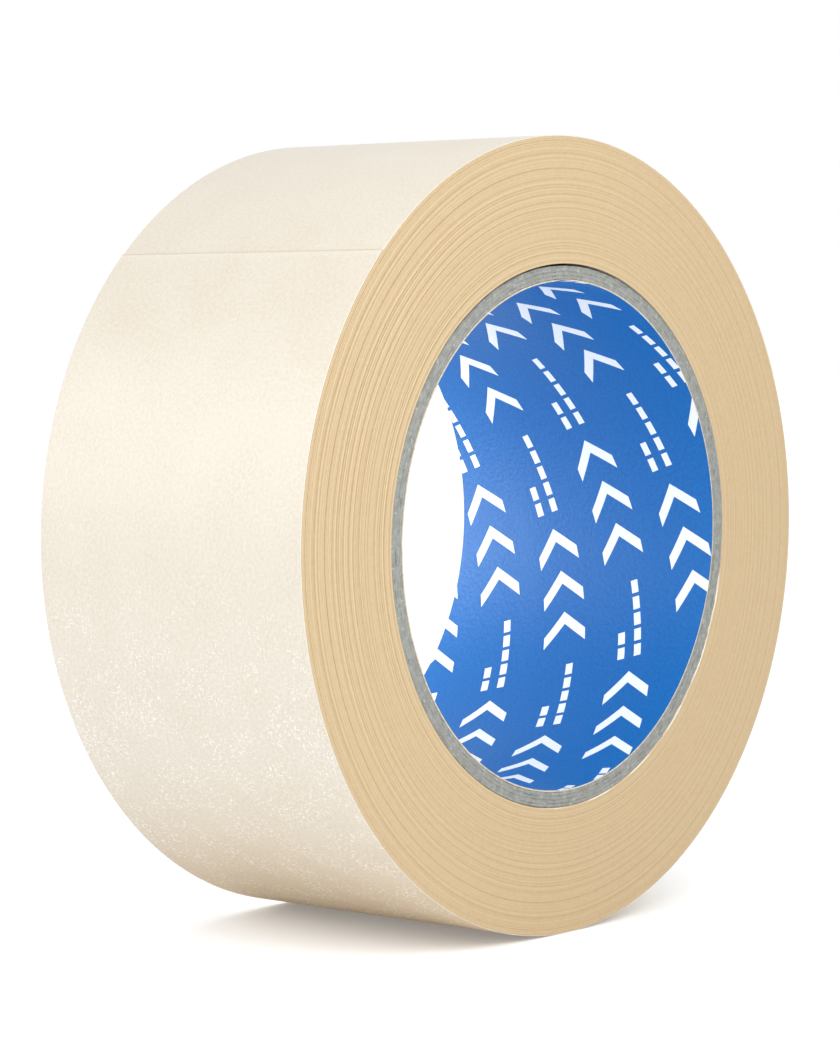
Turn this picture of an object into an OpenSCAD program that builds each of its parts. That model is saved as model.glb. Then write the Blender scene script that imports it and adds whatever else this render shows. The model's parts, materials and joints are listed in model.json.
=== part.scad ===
// Masking tape roll, standing on its edge.
// The roll's axis runs along Y, with the origin on the axis at half the width. +Z is up.
// Angles round the roll are in degrees from +X, rising towards +Z.

/* [Core] */
// Diameter of the bore through the core
core_bore_d = 76.2; // [70:0.1:80]
// Thickness of the printed paper that lines the bore
liner_t = 0.2; // [0.1:0.05:0.4]
// Thickness of each grey chipboard ply
ply_t = 0.6; // [0.4:0.05:0.8]

/* [Tape] */
// Width of the tape, and of the core that it is wound on
tape_w = 50.8; // [18:0.1:76]
// Thickness of the tape with its adhesive
tape_t = 0.12; // [0.1:0.01:0.2]
// Length of the tape on the roll, in metres
tape_length = 50; // [20:1:60]

/* [Free end] */
// Angle at which the tape's free end lies
end_angle = 135.4; // [100:0.1:170]
// Length of tape that lifts when the free end is picked up
lift_length = 50; // [30:1:70]
// Clearance under the tape that lifts
lift_gap = 0.02; // [0.01:0.005:0.03]

/* [Hidden] */
$fn = 180;

// Plies of chipboard between the liner and the tape
ply_count = 4;
// Stiff lengths that the lifting tape is divided into, each hinged to the one before
lift_count = 8;

bore_r = core_bore_d / 2;
first_ply_r = bore_r + liner_t;
core_r = first_ply_r + ply_count * ply_t;

// Seen from the side, the tape covers its length times its thickness.
millimetres = 1000;
mean_r = sqrt(core_r ^ 2 + tape_length * millimetres * tape_t / PI);

// The outer turn is a spiral of two half turns. The second has its centre half a thickness
// further from the free end, so that one whole turn climbs by exactly one thickness.
half_step = tape_t / 2;
end_r = mean_r + half_step;
far_r = end_r - half_step;
half_turn = 180;
far_angle = end_angle + half_turn;

lift_angle = lift_length / end_r * half_turn / PI;
segment_angle = lift_angle / lift_count;

function ply_name(k) = str("core_ply_", k);
function end_name(k) = str("tape_end_", k);

// A wall as wide as the tape, bent round the Y axis from one radius to another
module band(inner_r, outer_r, from = 0, sweep = 360) {
    rotate([90, 0, 0])
        rotate_extrude(start = from, angle = sweep)
            translate([inner_r, -tape_w / 2])
                square([outer_r - inner_r, tape_w]);
}

// Moves a half turn to the centre of the spiral's second half
module far_half() {
    translate([half_step * cos(far_angle), 0, half_step * sin(far_angle)])
        children();
}

// Printed paper, wound in a spiral and glued inside the core
module core_liner() {
    color("#2c74d2")
        band(bore_r, first_ply_r);
}

// One ply of chipboard, the first of them glued round the liner
module core_ply(k) {
    inner_r = first_ply_r + (k - 1) * ply_t;
    color("#9fa19c")
        band(inner_r, inner_r + ply_t);
}

// Every turn of the tape except the outer one, with the step where that one begins
module tape_windings() {
    color("#dcbe8e")
        difference() {
            union() {
                band(bore_r, end_r - tape_t, end_angle, half_turn);
                far_half()
                    band(bore_r, far_r - tape_t, far_angle, half_turn);
            }
            rotate([90, 0, 0])
                cylinder(r = core_r, h = 2 * tape_w, center = true);
        }
}

// The outer turn, from the step in the windings round to where the free end lifts
module tape_outer_turn() {
    color("#f3ead8") {
        band(end_r - tape_t, end_r, end_angle + lift_angle, half_turn - lift_angle);
        far_half()
            band(far_r - tape_t, far_r, far_angle, half_turn);
    }
}

// One length of the free end, counted from the root of the lift
module tape_end(k) {
    color("#f3ead8")
        band(end_r - tape_t + lift_gap, end_r, end_angle + lift_angle - k * segment_angle, segment_angle);
}

core_liner();
for (k = [1:ply_count])
    core_ply(k);
tape_windings();
tape_outer_turn();
for (k = [1:lift_count])
    tape_end(k);
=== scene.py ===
import json
import math

import bpy
import numpy as np
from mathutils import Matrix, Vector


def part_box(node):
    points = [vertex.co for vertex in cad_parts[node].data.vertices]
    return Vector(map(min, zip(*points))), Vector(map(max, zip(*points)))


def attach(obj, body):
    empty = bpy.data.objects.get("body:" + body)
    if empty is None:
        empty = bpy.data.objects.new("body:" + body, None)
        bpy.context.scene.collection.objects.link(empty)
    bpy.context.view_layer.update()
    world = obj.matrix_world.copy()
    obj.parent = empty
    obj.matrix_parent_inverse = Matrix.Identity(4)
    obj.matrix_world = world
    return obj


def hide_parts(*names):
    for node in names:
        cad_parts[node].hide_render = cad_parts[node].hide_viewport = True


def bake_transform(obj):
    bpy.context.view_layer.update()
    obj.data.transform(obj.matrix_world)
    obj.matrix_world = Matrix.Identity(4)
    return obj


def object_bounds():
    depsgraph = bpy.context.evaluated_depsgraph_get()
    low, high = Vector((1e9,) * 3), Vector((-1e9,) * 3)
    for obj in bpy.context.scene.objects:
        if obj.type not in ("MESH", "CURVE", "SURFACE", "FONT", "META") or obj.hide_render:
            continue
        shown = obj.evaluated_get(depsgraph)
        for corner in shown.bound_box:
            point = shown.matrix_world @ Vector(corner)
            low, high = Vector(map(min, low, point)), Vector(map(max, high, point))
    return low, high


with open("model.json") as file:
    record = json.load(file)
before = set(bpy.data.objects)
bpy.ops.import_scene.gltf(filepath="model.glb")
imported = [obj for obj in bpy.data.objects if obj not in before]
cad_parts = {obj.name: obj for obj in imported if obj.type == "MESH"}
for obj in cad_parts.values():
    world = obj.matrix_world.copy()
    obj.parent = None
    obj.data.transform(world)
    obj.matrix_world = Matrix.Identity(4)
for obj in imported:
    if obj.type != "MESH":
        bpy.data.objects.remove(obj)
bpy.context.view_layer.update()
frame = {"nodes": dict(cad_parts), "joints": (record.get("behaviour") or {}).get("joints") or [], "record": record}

# ---------------------------------------------------------------------------
# Core liner
# Blue paper printed in white, wound as a slanting strip and glued inside the
# core, so that one butt joint runs through the bore as a helix.
# ---------------------------------------------------------------------------

mm = 0.001
turn = 2 * math.pi

bore_mount = next(m for m in frame["record"]["mounts"] if m["kind"] == "bore")
bore_r = bore_mount["dims"]["r_mm"] * mm
liner_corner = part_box("core_liner")[1]
liner_r = liner_corner[0]
half_w = liner_corner[1]

strip_slant = math.radians(19.0)
joint_angle = math.radians(202.6)
joint_width = 0.35 * mm
joint_depth = 0.14 * mm
liner_stations = 600
liner_points = 110
glued_points = 40
cockle = 0.012 * mm
edge_hold = 0.05 * mm
liner_recess = 0.08 * mm


def grain(rng, shape, reach, widest=0.0):
    """Smooth random heights with a spread of 1 that repeat at the edges: white noise whose
    spectrum is cut by a Gaussian, so that bumps are about reach grid steps across each way.
    Where widest is given, bumps much broader than widest times reach are taken out too."""
    waves = np.fft.rfft2(rng.standard_normal(shape))
    across = np.fft.fftfreq(shape[0])[:, None] * reach[0]
    along = np.fft.rfftfreq(shape[1])[None, :] * reach[1]
    span = (math.pi**2) * (across**2 + along**2) / 2
    waves *= np.exp(-span)
    if widest:
        waves *= 1 - np.exp(-span * widest**2)
    waves[0, 0] = 0
    made = np.fft.irfft2(waves, s=shape)
    return made / made.std()


def on_edge(radius, angle, y):
    """Points at a radius and an angle round the Y axis, from +X towards +Z."""
    return np.stack(np.broadcast_arrays(radius * np.cos(angle), y, radius * np.sin(angle)), -1)


def held(first, last, count, hold):
    """Even steps from first to last, with a short step of length hold at each end, which
    keeps the rounding of the shading next to the edges."""
    sign = 1 if last > first else -1
    middle = np.linspace(first + sign * hold, last - sign * hold, count - 2)
    return np.concatenate([[first], middle, [last]])


def wall(name, top, under, uv_top, uv_under, materials, joined=False, smooth=True, tone_and_recess_shade=None):
    """A closed body between two surfaces. Each station's section runs along top and back
    along under, and each section is joined to the next by quads. The stations run right
    round and meet where joined is true, and otherwise both ends are capped. materials are
    those of the top, the far side, the underside and the near side."""
    stations, k = top.shape[:2]
    size = k + under.shape[1]
    spans = stations if joined else stations - 1
    points = np.concatenate([top, under[:, ::-1]], axis=1).reshape(-1, 3)
    uv = np.concatenate([uv_top, uv_under[:, ::-1]], axis=1)
    i, j = np.meshgrid(np.arange(spans), np.arange(size), indexing="ij")
    after = (j + 1) % size
    rows = np.stack([i, i, i + 1, i + 1], -1)
    columns = np.stack([j, after, after, j], -1)
    quads = ((rows % stations) * size + columns).reshape(-1, 4)
    corners = uv[rows % len(uv), columns].reshape(-1, 2)
    part = np.select([j < k - 1, j < k, j < size - 1], [0, 1, 2], 3).ravel()
    faces = quads.tolist()
    if not joined:
        cap = np.arange(size)
        faces += [cap[::-1].tolist(), (cap + (stations - 1) * size).tolist()]
        corners = np.concatenate([corners, uv[0][::-1], uv[-1]])
        part = np.concatenate([part, [1, 1]])
    p = points[quads]
    volume = np.einsum("ni,ni->", p[:, 0], np.cross(p[:, 1], p[:, 2]) + np.cross(p[:, 2], p[:, 3]))
    mesh = bpy.data.meshes.new(name)
    mesh.from_pydata(points, [], faces)
    layer = mesh.uv_layers.new(name="strip")
    layer.data.foreach_set("uv", corners.astype(np.float32).ravel())
    if volume < 0:
        mesh.flip_normals()
    kinds = list(dict.fromkeys(materials))
    for kind in kinds:
        mesh.materials.append(kind)
    index = np.array([kinds.index(m) for m in materials])
    mesh.polygons.foreach_set("material_index", index[part])
    mesh.polygons.foreach_set("use_smooth", np.full(len(part), smooth))
    if tone_and_recess_shade is not None:
        shade = mesh.attributes.new("tone_and_recess_shade", "FLOAT", "POINT")
        tones = np.concatenate([tone_and_recess_shade, tone_and_recess_shade[:, ::-1]], axis=1)
        shade.data.foreach_set("value", tones.astype(np.float32).ravel())
    mesh.update()
    made = bpy.data.objects.new(name, mesh)
    bpy.context.scene.collection.objects.link(made)
    return made


def added(tree, kind, inputs, **settings):
    """Adds one shader node. settings are its own properties, and inputs gives each socket,
    by name or number, a value or the socket that feeds it."""
    made = tree.nodes.new(kind)
    for key, value in settings.items():
        setattr(made, key, value)
    for key, value in inputs.items():
        if isinstance(value, bpy.types.NodeSocket):
            tree.links.new(value, made.inputs[key])
        else:
            made.inputs[key].default_value = value
    return made


def maths(tree, operation, *values):
    """The output of one Math node."""
    return added(tree, "ShaderNodeMath", dict(enumerate(values)), operation=operation).outputs[0]


def within(tree, value, low, high):
    """1 where value lies between low and high, and 0 elsewhere."""
    above = maths(tree, "GREATER_THAN", value, low)
    return maths(tree, "MULTIPLY", above, maths(tree, "LESS_THAN", value, high))


def ranged(tree, value, low, high, new_low=0.0, new_high=1.0):
    """value's range from low to high, carried smoothly to a new range and held beyond it."""
    inputs = {"Value": value, "From Min": low, "From Max": high, "To Min": new_low, "To Max": new_high}
    made = added(tree, "ShaderNodeMapRange", inputs, interpolation_type="SMOOTHSTEP")
    return made.outputs["Result"]


def mixed(tree, factor, first, second):
    """A colour between two colours or sockets."""
    made = added(tree, "ShaderNodeMix", {0: factor, 6: first, 7: second}, data_type="RGBA")
    return made.outputs[2]


def noise(tree, place, scale, detail=2.0, stretch=(1, 1, 1)):
    """Noise with about scale bumps to the millimetre, drawn out along an axis by stretch."""
    times = [scale / (mm * s) for s in stretch]
    vector = added(tree, "ShaderNodeVectorMath", {0: place, 1: times}, operation="MULTIPLY").outputs[0]
    made = added(tree, "ShaderNodeTexNoise", {"Vector": vector, "Scale": 1.0, "Detail": detail})
    return made.outputs["Fac"]


def new_finish(name, roughness):
    """A new material: its tree, its Principled shader, and the places that patterns read."""
    material = bpy.data.materials.new(name)
    material.use_nodes = True
    tree = material.node_tree
    shader = tree.nodes["Principled BSDF"]
    shader.inputs["Roughness"].default_value = roughness
    along = added(tree, "ShaderNodeUVMap", {}, uv_map="strip").outputs["UV"]
    place = added(tree, "ShaderNodeTexCoord", {}).outputs["Object"]
    return material, tree, shader, along, place


def raised(tree, shader, height, distance, strength=1.0):
    """Bump of a real height in metres."""
    inputs = {"Height": height, "Distance": distance, "Strength": strength}
    bump = added(tree, "ShaderNodeBump", inputs)
    tree.links.new(bump.outputs["Normal"], shader.inputs["Normal"])


# The print repeats in two staggered rows: three chevrons, then a long and a short row of dashes.
repeat_along = 40.5 * mm
repeat_across = 25.1 * mm
stagger_along = 11.6 * mm
chevron_pitch = 7.2 * mm
chevron_count = 3
chevron_tall = 7.8 * mm
stroke = 2.2 * mm
dashes_start = 23.2 * mm
long_row = (13.6 * mm, 2.6 * mm)
short_row = (5.2 * mm, 5.6 * mm)
dash_tall = 1.25 * mm
dash_pitch = 2.8 * mm
dash_long = 2.15 * mm
liner_blue = (0.003, 0.145, 0.450, 1)
liner_white = (0.90, 0.93, 0.95, 1)
mark_arc = bore_r * math.radians(330.1)
mark_y = -3.9 * mm
mark_p = mark_arc * math.cos(strip_slant) + mark_y * math.sin(strip_slant)
mark_q = mark_y * math.cos(strip_slant) - mark_arc * math.sin(strip_slant)


def print_row(tree, p, q, start_p, start_q):
    """1 on one row of the print. p runs along the strip and q across it."""
    p = maths(tree, "FLOORED_MODULO", maths(tree, "SUBTRACT", p, start_p), repeat_along)
    q = maths(tree, "FLOORED_MODULO", maths(tree, "SUBTRACT", q, start_q), repeat_across)
    off_middle = maths(tree, "ABSOLUTE", maths(tree, "SUBTRACT", q, chevron_tall / 2))
    slope = maths(tree, "ADD", maths(tree, "MODULO", p, chevron_pitch), off_middle)
    tip = chevron_tall / 2 + stroke / 2
    shape = within(tree, slope, tip - stroke / 2, tip + stroke / 2)
    shape = maths(tree, "MULTIPLY", shape, maths(tree, "LESS_THAN", p, chevron_count * chevron_pitch))
    shape = maths(tree, "MULTIPLY", shape, maths(tree, "LESS_THAN", q, chevron_tall))
    for long, middle in (long_row, short_row):
        bar = within(tree, p, dashes_start, dashes_start + long)
        tall = within(tree, q, middle - dash_tall / 2, middle + dash_tall / 2)
        bar = maths(tree, "MULTIPLY", bar, tall)
        step = maths(tree, "MODULO", maths(tree, "SUBTRACT", p, dashes_start), dash_pitch)
        bar = maths(tree, "MULTIPLY", bar, maths(tree, "LESS_THAN", step, dash_long))
        shape = maths(tree, "MAXIMUM", shape, bar)
    return shape


def liner_finish():
    """Satin blue print on fine paper, with white marks."""
    material, tree, shader, along, place = new_finish("liner_print", 0.42)
    shader.inputs["Specular IOR Level"].default_value = 0.3
    split = added(tree, "ShaderNodeSeparateXYZ", {0: along})
    p = maths(tree, "SUBTRACT", split.outputs[0], mark_p)
    q = maths(tree, "SUBTRACT", split.outputs[1], mark_q)
    marks = print_row(tree, p, q, 0.0, 0.0)
    marks = maths(tree, "MAXIMUM", marks, print_row(tree, p, q, stagger_along, repeat_across / 2))
    cloud = ranged(tree, noise(tree, place, 2.4, detail=3.0), 0.35, 0.65)
    darker = (liner_blue[0] * 0.8, liner_blue[1] * 0.86, liner_blue[2] * 0.9, 1)
    blue = mixed(tree, cloud, darker, liner_blue)
    colour = mixed(tree, marks, blue, liner_white)
    tree.links.new(colour, shader.inputs["Base Color"])
    peel = noise(tree, place, 1.6, detail=3.0)
    raised(tree, shader, peel, 0.07 * mm)
    return material


def cut_finish():
    """The liner's cut ends: unprinted beige paper."""
    material, tree, shader, along, place = new_finish("cut_paper", 0.8)
    fibre = ranged(tree, noise(tree, place, 2.0), 0.3, 0.7)
    colour = mixed(tree, fibre, (0.50, 0.43, 0.31, 1), (0.66, 0.58, 0.44, 1))
    tree.links.new(colour, shader.inputs["Base Color"])
    return material


liner_print = liner_finish()
liner_board = cut_finish()
rng = np.random.default_rng(7)
a = np.linspace(0, turn, liner_stations, endpoint=False)[:, None]
trimmed = half_w - liner_recess
y = held(-trimmed, trimmed, liner_points, edge_hold)[None, :]
lead = 1 / (bore_r * math.tan(strip_slant))
angle = joint_angle + a + y * lead
from_joint = np.minimum(a, turn - a) * bore_r * math.sin(strip_slant)
groove = joint_depth * np.exp(-((from_joint / joint_width) ** 2))
inner = bore_r + groove + cockle * grain(rng, (liner_stations, liner_points), (30, 20))
glued_y = held(-trimmed, trimmed, glued_points, edge_hold)[None, :]
a_uv = np.linspace(0, turn, liner_stations + 1)[:, None]
arc = bore_r * (joint_angle + a_uv + y * lead)
p_strip = arc * math.cos(strip_slant) + y * math.sin(strip_slant)
q_strip = y * math.cos(strip_slant) - arc * math.sin(strip_slant)
strip_uv = np.stack([p_strip, q_strip], -1)
liner = wall(
    "core_liner_print",
    on_edge(inner, angle, y),
    on_edge(liner_r, joint_angle + a + glued_y * lead, glued_y),
    strip_uv,
    np.zeros((liner_stations + 1, glued_points, 2)),
    [liner_print, liner_board, liner_board, liner_board],
    joined=True,
)
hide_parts("core_liner")
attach(liner, "roll")

# ---------------------------------------------------------------------------
# Core plies
# Grey chipboard strips glued one over another round the liner and sawn to
# length, which leaves their ends rough with short fibres.
# ---------------------------------------------------------------------------

ply_names = sorted(n for n in frame["nodes"] if n.startswith("core_ply_"))
ply_stations = 1200
ply_points = 7
saw_marks = 0.05 * mm
burr_round = 0.09 * mm
recess = 0.10 * mm
gap_middle = math.radians(102.0)
gap_spread = math.radians(54.0)
gap_most = 0.34 * mm
side_gap_middle = math.radians(195.0)
side_gap_spread = math.radians(62.0)
side_gap = 0.22 * mm


def board_finish():
    """Matt grey board with pale fibres and dark specks."""
    material, tree, shader, along, place = new_finish("chipboard", 0.85)
    mottle = ranged(tree, noise(tree, place, 0.9, detail=3.0), 0.35, 0.65)
    colour = mixed(tree, mottle, (0.226, 0.231, 0.213, 1), (0.277, 0.282, 0.260, 1))
    fibre = ranged(tree, noise(tree, place, 1.7, detail=1.0), 0.60, 0.74)
    colour = mixed(tree, maths(tree, "MULTIPLY", fibre, 0.6), colour, (0.45, 0.45, 0.42, 1))
    speck = ranged(tree, noise(tree, place, 2.4, detail=1.0), 0.32, 0.25)
    colour = mixed(tree, maths(tree, "MULTIPLY", speck, 0.6), colour, (0.20, 0.195, 0.175, 1))
    tree.links.new(colour, shader.inputs["Base Color"])
    raised(tree, shader, noise(tree, place, 1.5, detail=3.0), 0.16 * mm)
    return material


chipboard = board_finish()
core_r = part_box(ply_names[-1])[1][0]
inside_r = liner_r
for name in ply_names:
    outside_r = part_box(name)[1][0]
    angle = np.linspace(0, turn, ply_stations, endpoint=False)[:, None]
    gap = gap_most * np.exp(-(((angle - gap_middle) / gap_spread) ** 4))
    gap = gap + side_gap * np.exp(-(((angle - side_gap_middle) / side_gap_spread) ** 4))
    gap = gap if name == ply_names[-1] else 0 * gap
    across = np.linspace(0, 1, ply_points)[None, :]
    radius = outside_r - gap + (inside_r - outside_r + gap) * across
    rounding = burr_round * np.exp(-((core_r - gap - radius) / burr_round) ** 2)
    rounding = rounding + burr_round * np.exp(-((radius - liner_r) / burr_round) ** 2)
    ends = []
    for side in (-1, 1):
        rough = grain(rng, (ply_stations, ply_points), (3.0, 2.5))
        rough += 0.6 * grain(rng, (ply_stations, ply_points), (14.0, 4.0))
        ends.append(on_edge(radius, angle, side * (half_w - recess - rounding + saw_marks * rough)))
    flat_uv = np.zeros((ply_stations + 1, ply_points, 2))
    ply = wall(name + "_board", ends[0], ends[1], flat_uv, flat_uv, [chipboard] * 4, joined=True)
    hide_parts(name)
    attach(ply, "roll")
    inside_r = outside_r

# ---------------------------------------------------------------------------
# Wound tape
# About 158 turns of one strip. Each turn lies a little to one side of the
# next, so the slit edges show as fine rings of light and shade, and turns set back
# from the front face are also painted darker, as shade.
# ---------------------------------------------------------------------------

tape_t = 0.12 * mm
peel_joint = next(j for j in frame["joints"] if j["name"] == "tape_peel")
bend_joints = [j for j in frame["joints"] if j["name"].startswith("tape_bend_")]
pivots = [np.array(j["pos_m"]) for j in [peel_joint, *bend_joints]]
end_r = float(np.hypot(pivots[0][0], pivots[0][2]))


def bearing(point):
    """The angle of a point round the roll."""
    return math.atan2(point[2], point[0]) % turn


segment_angle = bearing(pivots[0]) - bearing(pivots[1])
lift_angle = segment_angle * len(pivots)
end_angle = bearing(pivots[0]) - lift_angle
turn_count = round((end_r - core_r) / tape_t)


def climb(theta):
    """How far the tape's outer face lies inside end_r, an angle theta along the tape from its
    free end: level for half a turn, then down by one thickness over the next half."""
    whole = np.floor(theta / turn)
    part = theta - whole * turn
    return tape_t * (whole + np.where(part > math.pi, (1 + np.cos(part)) / 2, 0.0))


wander_samples = 16
uneven_part = 0.063
uneven_least = 0.30
uneven_more = 0.62
wander = np.zeros((turn_count + 3) * wander_samples)
painted_recess_shade = np.zeros_like(wander)
for strength, turns, widest, shading in (
    (0.015 * mm, 1.0, 2.2, 0.90),
    (0.011 * mm, 2.4, 2.0, 0.55),
    (0.020 * mm, 50.0, 0.0, 0.0),
):
    wave = grain(rng, (1, wander.size), (1, turns * wander_samples), widest)[0]
    wander = wander + strength * wave
    # Painted shade: each turn's colour follows the same wave that sets it aside, darker the further it is set back
    # from the front face.
    painted_recess_shade -= shading * wave
drift_angles = 360
drift = 0.010 * mm * grain(rng, (turn_count + 4, drift_angles), (1.5, 50.0))


def unevenness(part):
    """The winding is least even in one place round the roll. part is the part of a turn."""
    near = (1 + np.cos(turn * (part - uneven_part))) / 2
    return uneven_least + uneven_more * near**6


def sideways(theta):
    """How far the strip has wandered along Y, an angle theta along it from the free end."""
    turns = theta / turn
    main = np.interp(turns * wander_samples, np.arange(wander.size), wander)
    whole = np.floor(turns).astype(int)
    part = turns - whole
    column = np.round(part * drift_angles).astype(int) % drift_angles
    aside = main + (1 - part) * drift[whole, column] + part * drift[whole + 1, column]
    return aside * unevenness(part)


def edge_finish():
    """Slit crepe paper and adhesive seen edge on: tan, each turn painted a little darker where it is set back and
    lighter where it stands out, as painted shade, with a pale stretch on the innermost turn.
    """
    material, tree, shader, along, place = new_finish("slit_edges", 0.62)
    tone_and_recess_shade = added(tree, "ShaderNodeAttribute", {}, attribute_name="tone_and_recess_shade").outputs["Fac"]
    # Painted shade: the per-turn value, darker for turns set back from the front face, sets the tan.
    shade = ranged(tree, tone_and_recess_shade, -2.4, 2.4)
    colour = mixed(tree, shade, (0.365, 0.243, 0.115, 1), (0.600, 0.465, 0.276, 1))
    fleck = ranged(tree, noise(tree, place, 1.6, detail=2.0), 0.35, 0.65)
    colour = mixed(tree, maths(tree, "MULTIPLY", fleck, 0.05), colour, (0.80, 0.66, 0.46, 1))
    colour = mixed(tree, ranged(tree, tone_and_recess_shade, 3.0, 6.0), colour, (0.90, 0.86, 0.78, 1))
    tree.links.new(colour, shader.inputs["Base Color"])
    raised(tree, shader, noise(tree, place, 3.2, detail=2.0), 0.008 * mm)
    return material


# Where the white flecks, partly fibres and partly painted glints, thicken, are full, thin out and are sparse,
# along the strip from its free end.
fleck_glint_from, fleck_glint_full, fleck_glint_to, fleck_glint_gone = 40 * mm, 75 * mm, 120 * mm, 140 * mm
# Where the painted shade near the floor starts, is full, begins to fade and is gone, along the strip from its free
# end.
contact_shade_from, contact_shade_full, contact_shade_to, contact_shade_gone = 74 * mm, 130 * mm, 150 * mm, 200 * mm
cut_shadow_width = 0.22 * mm
paper_roughness = 0.38
contact_shade_roughness = 0.35


def paper_finish():
    """Cream crepe paper: fine grain, clustered white flecks, partly fibres and partly painted glints,
    and faint lengthwise streaks. A stretch of the outer turn near the floor is painted browner and darker, as
    shade, and made rougher."""
    material, tree, shader, along, place = new_finish("crepe_paper", paper_roughness)
    shader.inputs["Specular IOR Level"].default_value = 1.0
    cloud = ranged(tree, noise(tree, along, 0.09, detail=3.0), 0.3, 0.7)
    colour = mixed(tree, cloud, (0.550, 0.494, 0.398, 1), (0.572, 0.518, 0.426, 1))
    fine = ranged(tree, noise(tree, along, 1.9, detail=3.0), 0.3, 0.7)
    colour = mixed(tree, maths(tree, "MULTIPLY", fine, 0.55), colour, (0.66, 0.605, 0.515, 1))
    streak = ranged(tree, noise(tree, along, 3.0, detail=1.0, stretch=(22, 1, 1)), 0.62, 0.74)
    colour = mixed(tree, maths(tree, "MULTIPLY", streak, 0.16), colour, (0.52, 0.45, 0.34, 1))
    split = added(tree, "ShaderNodeSeparateXYZ", {0: along})
    # Painted shade: the stretch of the outer turn near the floor is painted browner and darker, and made rougher.
    contact_shade = ranged(tree, split.outputs[0], contact_shade_from, contact_shade_full)
    contact_shade = maths(tree, "MULTIPLY", contact_shade, ranged(tree, split.outputs[0], contact_shade_to, contact_shade_gone, 1.0, 0.0))
    colour = mixed(tree, maths(tree, "MULTIPLY", contact_shade, 0.78), colour, (0.47, 0.315, 0.14, 1))
    rougher = maths(tree, "MULTIPLY_ADD", contact_shade, contact_shade_roughness, paper_roughness)
    tree.links.new(rougher, shader.inputs["Roughness"])
    # White flecks, partly paler fibres and partly painted glints, thickest along one stretch of the outer turn.
    fleck_glint_spread = ranged(tree, split.outputs[0], fleck_glint_from, fleck_glint_full, 0.12, 1.0)
    fleck_glint_spread = maths(tree, "MULTIPLY", fleck_glint_spread, ranged(tree, split.outputs[0], fleck_glint_to, fleck_glint_gone, 1.0, 0.12))
    cluster = ranged(tree, noise(tree, along, 0.2, detail=2.0), 0.38, 0.62, 0.25, 1.0)
    fibres = maths(
        tree,
        "MAXIMUM",
        noise(tree, along, 3.4, detail=1.0, stretch=(2.6, 1, 1)),
        noise(tree, along, 3.4, detail=1.0, stretch=(1, 2.6, 1)),
    )
    fleck = maths(tree, "MULTIPLY", ranged(tree, fibres, 0.585, 0.72), fleck_glint_spread)
    fleck = maths(tree, "MULTIPLY", fleck, cluster)
    colour = mixed(tree, maths(tree, "MULTIPLY", fleck, 0.7), colour, (0.86, 0.83, 0.79, 1))
    # Pale line along each rim of the outer turn: painted highlight of the rounded edge, together with the edge's
    # paler fibres.
    pale_rim_highlight = ranged(tree, maths(tree, "ABSOLUTE", split.outputs[1]), half_w - 0.12 * mm, half_w - 0.04 * mm)
    colour = mixed(tree, maths(tree, "MULTIPLY", pale_rim_highlight, 0.3), colour, (0.80, 0.78, 0.74, 1))
    # Painted highlight: the last 1.6 mm of the strip before its free end is painted paler, as the lifted end
    # catching the light.
    end_highlight = ranged(tree, split.outputs[0], 1.6 * mm, 0.4 * mm)
    colour = mixed(tree, maths(tree, "MULTIPLY", end_highlight, 0.15), colour, (0.72, 0.68, 0.60, 1))
    # Painted shadow: a brown line on the first 0.22 mm of the strip at its free end, as the shade beside the end's
    # step.
    cut = ranged(tree, split.outputs[0], cut_shadow_width, cut_shadow_width / 2)
    colour = mixed(tree, maths(tree, "MULTIPLY", cut, 0.55), colour, (0.42, 0.31, 0.19, 1))
    tree.links.new(colour, shader.inputs["Base Color"])
    crepe = noise(tree, along, 2.4, detail=3.0, stretch=(1, 1.8, 1))
    raised(tree, shader, crepe, 0.04 * mm)
    return material


def adhesive_finish():
    """Rubber adhesive on the paper's underside: smooth, tacky and a little yellow."""
    material, tree, shader, along, place = new_finish("adhesive", 0.4)
    cloud = ranged(tree, noise(tree, along, 0.4, detail=3.0), 0.3, 0.7)
    colour = mixed(tree, cloud, (0.66, 0.53, 0.33, 1), (0.72, 0.60, 0.41, 1))
    tree.links.new(colour, shader.inputs["Base Color"])
    raised(tree, shader, noise(tree, along, 1.6, detail=2.0, stretch=(1, 2, 1)), 0.02 * mm)
    return material


slit_edges = edge_finish()
crepe_paper = paper_finish()
adhesive = adhesive_finish()

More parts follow.
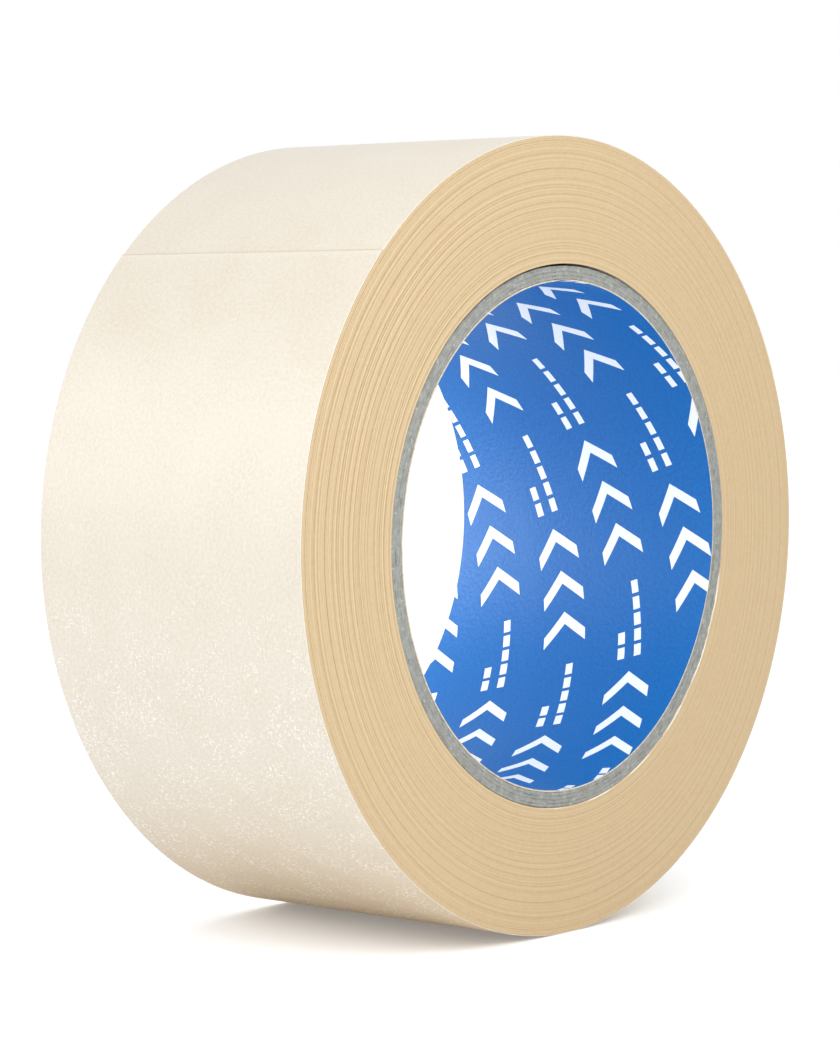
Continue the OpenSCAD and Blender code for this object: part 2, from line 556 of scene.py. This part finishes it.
winding_groups = 3
winding_stations = 361
winding_hold = 0.0001
pale_middle = math.radians(308.0)
pale_spread = math.radians(46.0)
pale_most = 7.0
edge_bevel = 0.09 * tape_t
edge_turn = 0.05 * mm
bounds_of_groups = np.linspace(1, turn_count, winding_groups + 1).astype(int)
for group in range(winding_groups):
    layers = np.arange(bounds_of_groups[group], bounds_of_groups[group + 1])[None, :]
    round_once = held(0, turn, winding_stations, winding_hold)[:, None]
    theta = round_once + turn * layers
    doubled = np.r_[0, 0, np.arange(2 * layers.size), 2 * layers.size - 1]
    high = end_r - climb(theta) - edge_bevel
    low = end_r - climb(theta + turn) + edge_bevel
    radius = np.stack([high, low], -1).reshape(winding_stations, -1)
    outermost = radius[:, [0, 0]] + edge_bevel
    radius = np.concatenate([outermost, radius, radius[:, -1:] - edge_bevel], 1)
    radius = np.maximum(radius, core_r)
    aside = np.repeat(sideways(theta), 2, axis=1)[:, doubled]
    edges_y = np.full(doubled.size, half_w)
    edges_y[0] -= edge_turn
    angle = end_angle + round_once
    tone_and_recess_shade = np.interp(theta / turn * wander_samples, np.arange(wander.size), painted_recess_shade)
    tone_and_recess_shade = tone_and_recess_shade * unevenness(round_once / turn)
    innermost = np.where(layers >= turn_count - 1, 1.0, 0.0)
    # The innermost turn is paler over a stretch below the axis on the +X side, varying in 23 ripples round the
    # roll.
    pale_inner_stretch = np.exp(-(((angle - pale_middle) / pale_spread) ** 4)) * (0.7 + 0.6 * np.cos(23 * angle))
    tone_and_recess_shade = tone_and_recess_shade + pale_most * innermost * pale_inner_stretch
    length = end_r * round_once + 0 * radius
    windings = wall(
        f"tape_windings_{group + 1}",
        on_edge(radius, angle, aside - edges_y),
        on_edge(radius, angle, aside + edges_y),
        np.stack([length, 0 * radius - edges_y], -1),
        np.stack([length, 0 * radius + edges_y], -1),
        [slit_edges, crepe_paper, slit_edges, crepe_paper],
        tone_and_recess_shade=np.repeat(tone_and_recess_shade, 2, axis=1)[:, doubled],
    )
    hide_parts("tape_windings")
    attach(windings, "roll")

# ---------------------------------------------------------------------------
# Outer turn and free end
# The last turn of crepe paper, and the 50 mm at its free end that peels up on the real roll,
# drawn as segments at rest. The free end is a cut edge across the roll, held down by the adhesive beneath it.
# ---------------------------------------------------------------------------

crepe_relief = 0.005 * mm
paper_points = 100
lift_gap = 0.02 * mm
station_step = 0.4 * mm
root_step = station_step / 4
station_hold = 0.006 * mm
end_rise = 0.06 * mm
end_reach = 0.7 * mm
rim_hold = 0.05 * mm
relief_stations = int(end_r * turn / station_step)
relief = crepe_relief * grain(rng, (relief_stations, paper_points), (3.0, 7.0))


def tape(name, start, sweep, step, clearance=0.0):
    """A length of the strip from an angle start along it, bent round the roll."""
    stations = int(end_r * sweep / step) + 2
    theta = held(start, start + sweep, stations, station_hold / end_r)[:, None]
    y = held(-half_w, half_w, paper_points, rim_hold)[None, :]
    aside = sideways(theta)
    row = theta[:, 0] / turn * (relief_stations - 1)
    below = np.floor(row).astype(int) % (relief_stations - 1)
    part = (row - np.floor(row))[:, None]
    bumps = relief[below] * (1 - part) + relief[below + 1] * part
    rise = end_rise * np.exp(-end_r * theta / end_reach)
    face = end_r - climb(theta) + bumps + rise
    back = end_r - climb(theta) - tape_t + clearance + rise
    return wall(
        name,
        on_edge(face, end_angle + theta, y + aside),
        on_edge(back, end_angle + theta, np.array([[-half_w, half_w]]) + aside),
        np.stack(np.broadcast_arrays(end_r * theta, y), -1),
        np.stack(np.broadcast_arrays(end_r * theta, np.array([[-half_w, half_w]])), -1),
        [crepe_paper, crepe_paper, adhesive, crepe_paper],
    )


outer_turn = tape("tape_outer_turn_paper", lift_angle, turn - lift_angle, station_step)
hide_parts("tape_outer_turn")
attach(outer_turn, "roll")

free_edge = on_edge(end_r, end_angle, 0.0)
chain = ["roll"] + [j["child"] for j in [peel_joint, *bend_joints]]
for k, before in enumerate(chain[:-1]):
    body = chain[k + 1]
    start = lift_angle - (k + 1) * segment_angle
    piece = tape(body + "_paper", start, segment_angle, station_step if k else root_step, lift_gap)
    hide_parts(body)
    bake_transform(piece)

# ---------------------------------------------------------------------------
# Floor, light and camera
# A pale floor under the roll's lowest line, white surroundings, and broad soft
# lights from the left and the front, with a small one behind the bore.
# ---------------------------------------------------------------------------

floor_size = 12.0
floor_drop = 0.03 * mm
floor_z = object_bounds()[0][2] - floor_drop
floor_mesh = bpy.data.meshes.new("floor")
side = floor_size / 2
floor_corners = [(x * side, y * side, floor_z) for x, y in ((-1, -1), (1, -1), (1, 1), (-1, 1))]
floor_mesh.from_pydata(floor_corners, [], [(0, 1, 2, 3)])
floor = bpy.data.objects.new("floor", floor_mesh)
bpy.context.scene.collection.objects.link(floor)
floor_paint = bpy.data.materials.new("floor_paint")
floor_paint.use_nodes = True
paint = floor_paint.node_tree.nodes["Principled BSDF"].inputs
paint["Base Color"].default_value = (0.92, 0.93, 0.95, 1)
paint["Roughness"].default_value = 0.9
paint["Emission Color"].default_value = (0.90, 0.95, 1.0, 1)
paint["Emission Strength"].default_value = 0.16
floor_mesh.materials.append(floor_paint)

world = bpy.data.worlds.new("studio")
world.use_nodes = True
surroundings = world.node_tree.nodes["Background"].inputs
surroundings["Color"].default_value = (1, 1, 1, 1)
surroundings["Strength"].default_value = 1.0
bpy.context.scene.world = world


def soft_light(name, place, size, power, aim=(0, 0, 0)):
    """A square area light at a place, turned towards aim and kept out of the camera's sight."""
    data = bpy.data.lights.new(name, "AREA")
    data.shape = "SQUARE"
    data.size = size
    data.energy = power
    made = bpy.data.objects.new(name, data)
    made.location = place
    made.rotation_euler = (Vector(aim) - Vector(place)).to_track_quat("-Z", "Y").to_euler()
    made.visible_camera = False
    bpy.context.scene.collection.objects.link(made)


soft_light("front_light", (-0.12, -0.22, 0.14), 0.16, 0.35)
soft_light("left_light", (-0.30, 0.28, 0.14), 0.25, 0.27)
soft_light("bore_light", (0, 0.06, 0), 0.02, 0.017, (0.04, 0, 0))

key_travel = Vector((0.80, -0.12, -0.55))
key_data = bpy.data.lights.new("key_light", "SUN")
key_data.energy = 0.35
key_data.angle = math.radians(30.0)
key_light = bpy.data.objects.new("key_light", key_data)
key_light.rotation_euler = key_travel.to_track_quat("-Z", "Y").to_euler()
bpy.context.scene.collection.objects.link(key_light)

view_azimuth = math.radians(-50.217)
view_elevation = math.radians(3.332)
view_distance = 519.58 * mm
aim_right = -2.491 * mm
flat = math.cos(view_elevation)
sideways_part = math.sin(view_azimuth) * flat
forward_part = -math.cos(view_azimuth) * flat
back_vector = Vector((sideways_part, forward_part, math.sin(view_elevation)))
right_vector = Vector((math.cos(view_azimuth), math.sin(view_azimuth), 0))
camera_data = bpy.data.cameras.new("camera")
camera_data.lens = 114.27
camera_data.sensor_width = 36.0
camera_data.clip_start = 0.01
camera_data.clip_end = 50.0
camera = bpy.data.objects.new("camera", camera_data)
camera.location = back_vector * view_distance + right_vector * aim_right
camera.rotation_euler = (-back_vector).to_track_quat("-Z", "Y").to_euler()
bpy.context.scene.collection.objects.link(camera)
bpy.context.scene.camera = camera
bpy.context.scene.view_settings.view_transform = "Standard"
